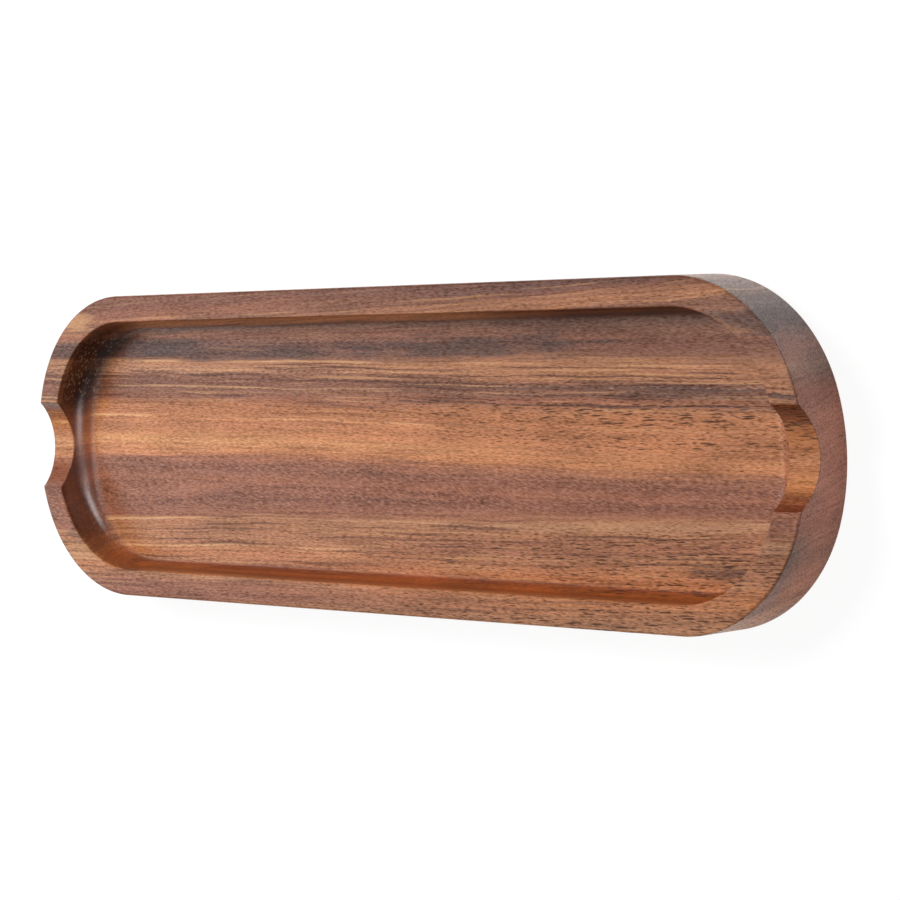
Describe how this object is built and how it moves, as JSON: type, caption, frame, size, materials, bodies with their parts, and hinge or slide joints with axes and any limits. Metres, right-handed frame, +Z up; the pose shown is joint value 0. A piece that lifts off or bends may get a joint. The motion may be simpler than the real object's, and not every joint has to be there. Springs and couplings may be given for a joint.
{
  "type": "spoon rest",
  "caption": "Long wooden tray with bowed round ends, a shallow coved pocket and a round handle notch through the rim at each end, standing on low soft bumper feet.",
  "frame": {"origin": "middle of the footprint, in the plane that the feet stand on", "axes": "+X along the length towards the near end, +Y across the width, +Z up"},
  "size_m": [0.27, 0.08, 0.0165],
  "materials": {
    "tray_wood": "oiled, satin on the rim and glossier in the coves",
    "foot_rubber": "matte"
  },
  "bodies": {
    "root": {"tray_body": "tray_wood", "foot_near_left": "foot_rubber", "foot_near_right": "foot_rubber", "foot_far_left": "foot_rubber", "foot_far_right": "foot_rubber"}
  },
  "joints": []
}
